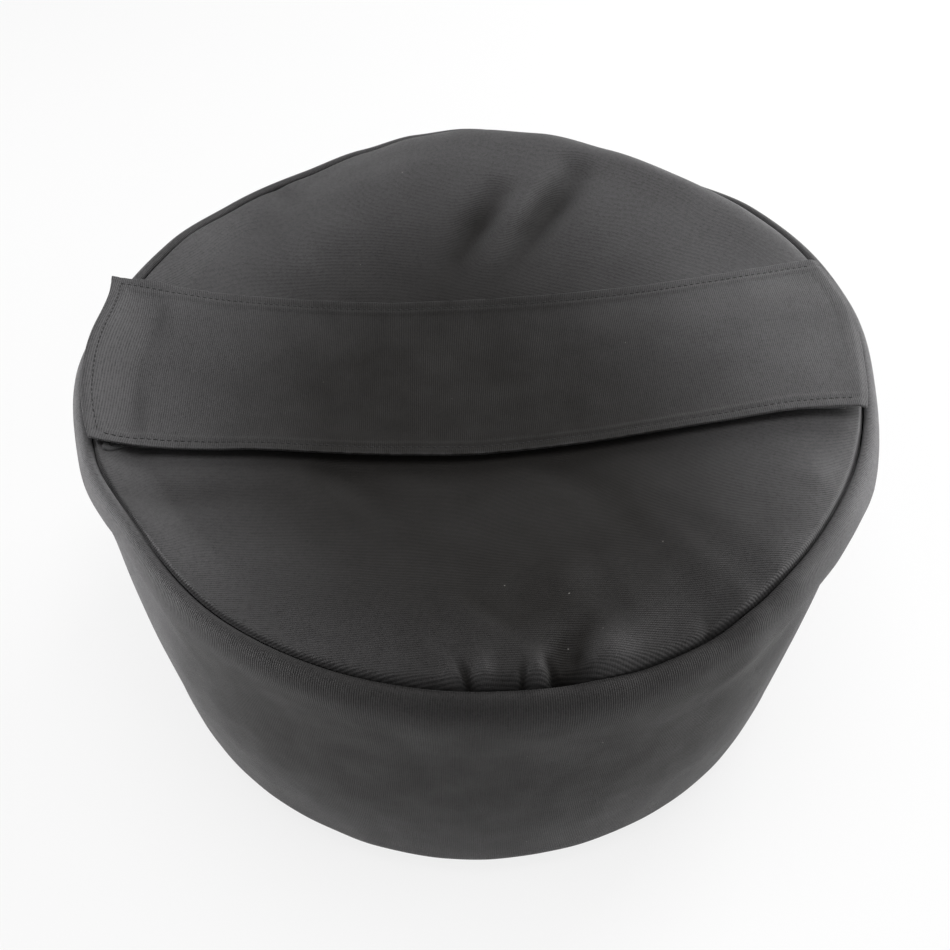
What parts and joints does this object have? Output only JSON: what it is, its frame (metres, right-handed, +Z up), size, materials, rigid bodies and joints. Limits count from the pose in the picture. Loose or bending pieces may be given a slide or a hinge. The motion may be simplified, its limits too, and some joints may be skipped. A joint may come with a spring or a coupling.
{
  "type": "sandbag trainer",
  "caption": "Short drum-shaped fabric sandbag with a dished top, a hinged cover flap over a curved zip, and a sand-filled liner.",
  "frame": {"origin": "on the floor, under the middle of the drum's base", "axes": "+Z up, +X along the cover flap towards the zip's closed end, -Y towards the flap's free front edge"},
  "size_m": [0.411, 0.411, 0.2148],
  "materials": {
    "ribbed_nylon": "black ribbed nylon, slight sheen",
    "hook_tape": "black nylon hook tape",
    "loop_tape": "black napped loop tape",
    "woven_tape": "black woven binding tape",
    "zip_tape": "black woven zip tape with moulded teeth",
    "moulded_plastic": "black moulded acetal",
    "zip_metal": "black enamelled zinc die casting",
    "coated_liner": "grey coated polyester",
    "dry_sand": "dry washed sand"
  },
  "bodies": {
    "bag": {"side_wall": "ribbed_nylon", "base_panel": "ribbed_nylon", "top_panel_front": "ribbed_nylon", "top_panel_rear": "ribbed_nylon", "flap_sewn_hem": "ribbed_nylon", "flap_loop_tape": "loop_tape", "top_seam_binding": "woven_tape", "base_seam_binding": "woven_tape", "wall_seam_strip": "woven_tape", "zip_tape_front": "zip_tape", "zip_tape_rear": "zip_tape", "zip_bottom_stop": "moulded_plastic", "zip_top_stop_front": "moulded_plastic", "zip_top_stop_rear": "moulded_plastic", "zip_end_tab_left": "ribbed_nylon", "zip_end_tab_right": "ribbed_nylon", "liner_bag": "coated_liner", "liner_neck": "coated_liner", "liner_strap_hook": "hook_tape", "liner_strap_loop": "loop_tape", "sand_fill": "dry_sand"},
    "flap": {"flap_cover": "ribbed_nylon", "flap_hook_tape": "hook_tape"},
    "slider": {"zip_slider": "zip_metal"},
    "pull": {"zip_pull": "zip_metal"}
  },
  "joints": [
    {"name": "flap_hinge", "type": "hinge", "parent": "bag", "child": "flap", "pos_m": [0, 0.052, 0.21515], "axis": [-1, 0, 0], "range_deg": [0, 150]},
    {"name": "zip_travel", "type": "hinge", "parent": "bag", "child": "slider", "pos_m": [-0.03642, 0.026, 1.0318], "axis": [0, 1, 0], "range_deg": [0, 19.47], "deforming": ["zip_tape_front", "zip_tape_rear"]},
    {"name": "pull_swing", "type": "hinge", "parent": "slider", "child": "pull", "pos_m": [0.14966, 0.026, 0.20221], "axis": [0, 1, 0], "range_deg": [0, 10]}
  ]
}
